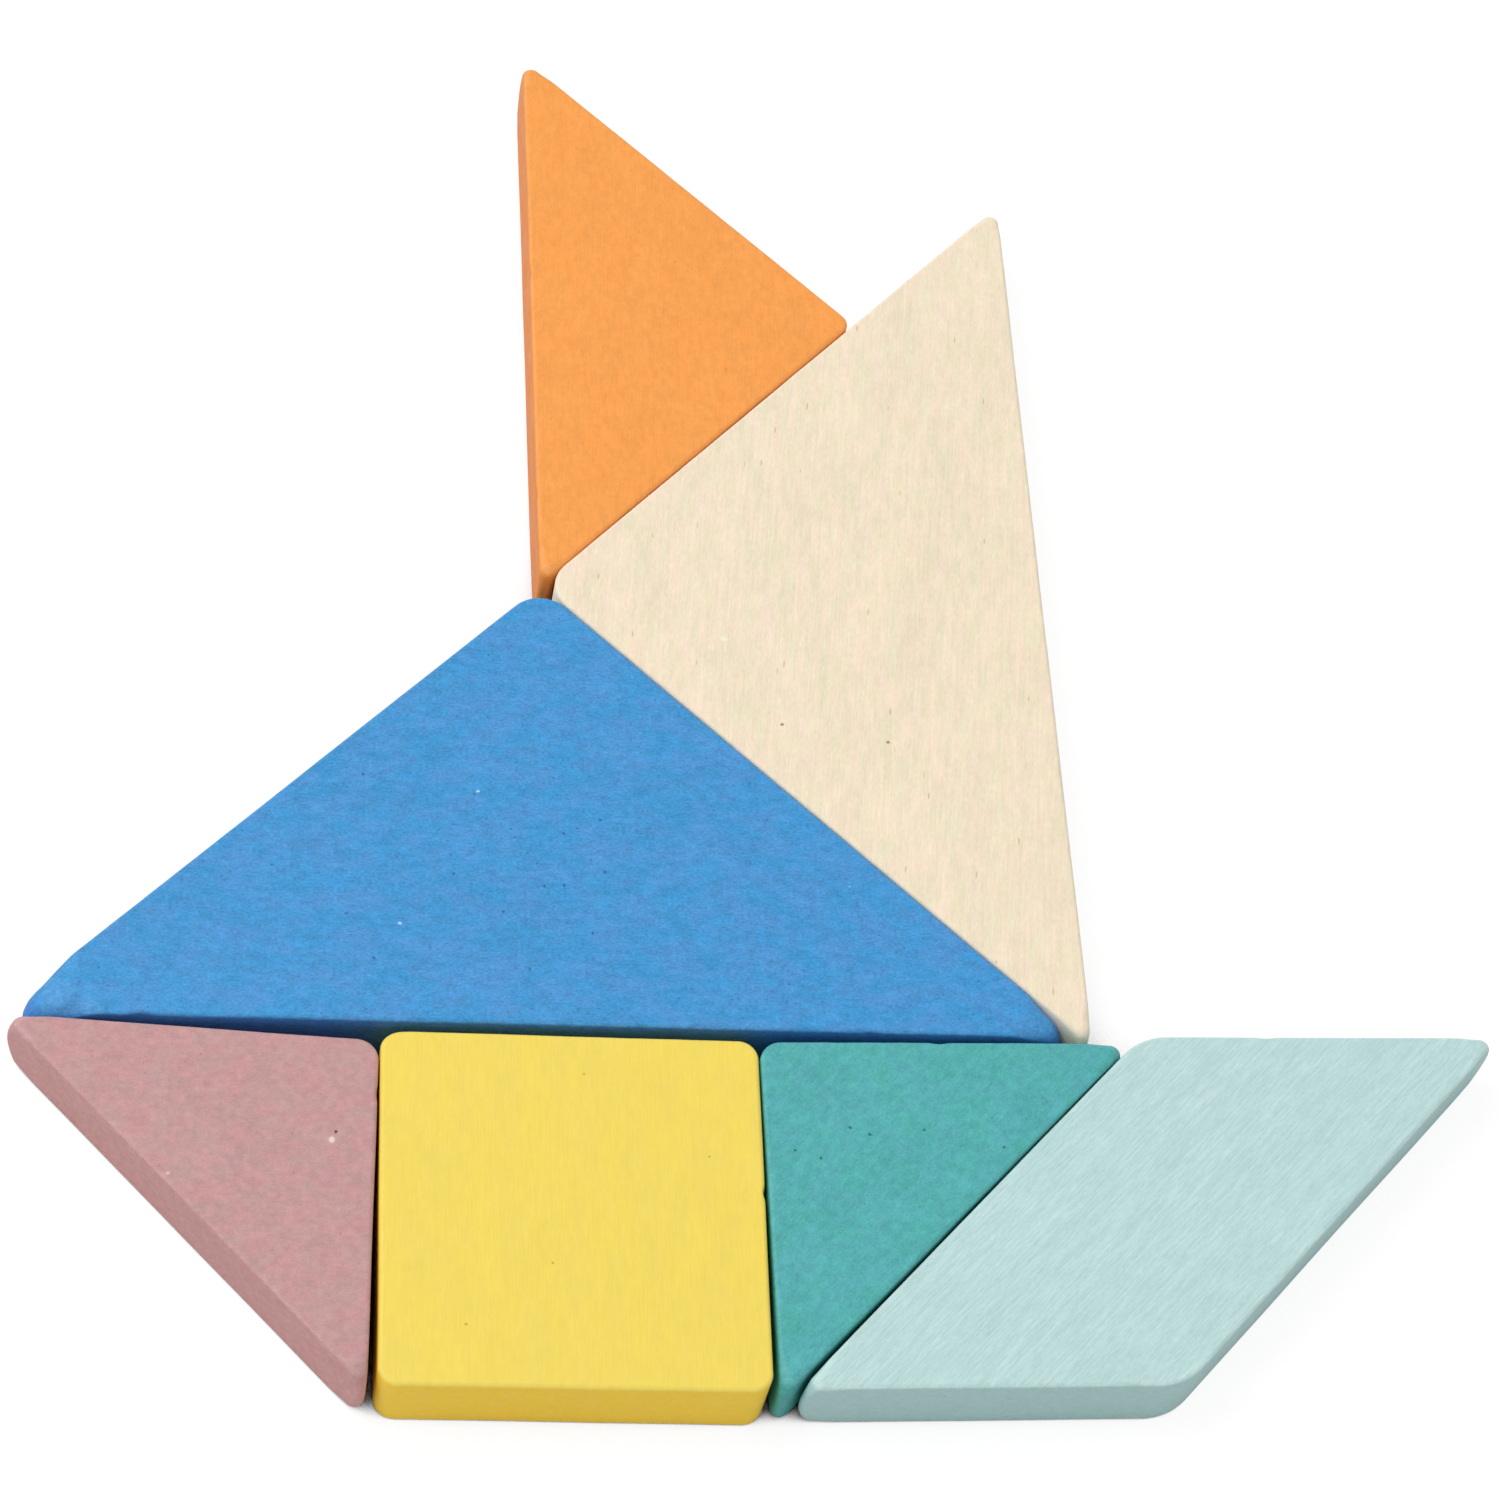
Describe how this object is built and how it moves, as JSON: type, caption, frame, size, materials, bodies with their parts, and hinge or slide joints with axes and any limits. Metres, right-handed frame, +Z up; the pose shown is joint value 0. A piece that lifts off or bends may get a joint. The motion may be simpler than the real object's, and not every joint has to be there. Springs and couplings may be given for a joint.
{
  "type": "tangram puzzle",
  "caption": "Set of flat wooden dissection tiles, triangles, a square and a parallelogram cut from one square board, laid side by side as a sailing boat.",
  "frame": {"origin": "middle of the laid boat's bounding box, on the surface that the tiles lie on", "axes": "+X along the deck towards the parallelogram, +Y up the sails, +Z up out of the tiles' painted faces"},
  "size_m": [0.1768, 0.1922, 0.01],
  "materials": {
    "blue_paint": "matte blue paint on sanded beech",
    "bare_wood": "bare sanded beech with fine ray flecks",
    "orange_paint": "matte orange paint on sanded beech",
    "mauve_paint": "matte mauve paint on sanded beech",
    "green_paint": "matte green paint on sanded beech",
    "yellow_paint": "matte yellow paint on sanded beech",
    "mint_paint": "thin matte mint paint, grain ridges showing through"
  },
  "bodies": {
    "root": {"large_triangle_blue": "blue_paint", "large_triangle_natural": "bare_wood", "medium_triangle_orange": "orange_paint", "small_triangle_mauve": "mauve_paint", "small_triangle_green": "green_paint", "square_yellow": "yellow_paint", "parallelogram_mint": "mint_paint"}
  },
  "joints": []
}
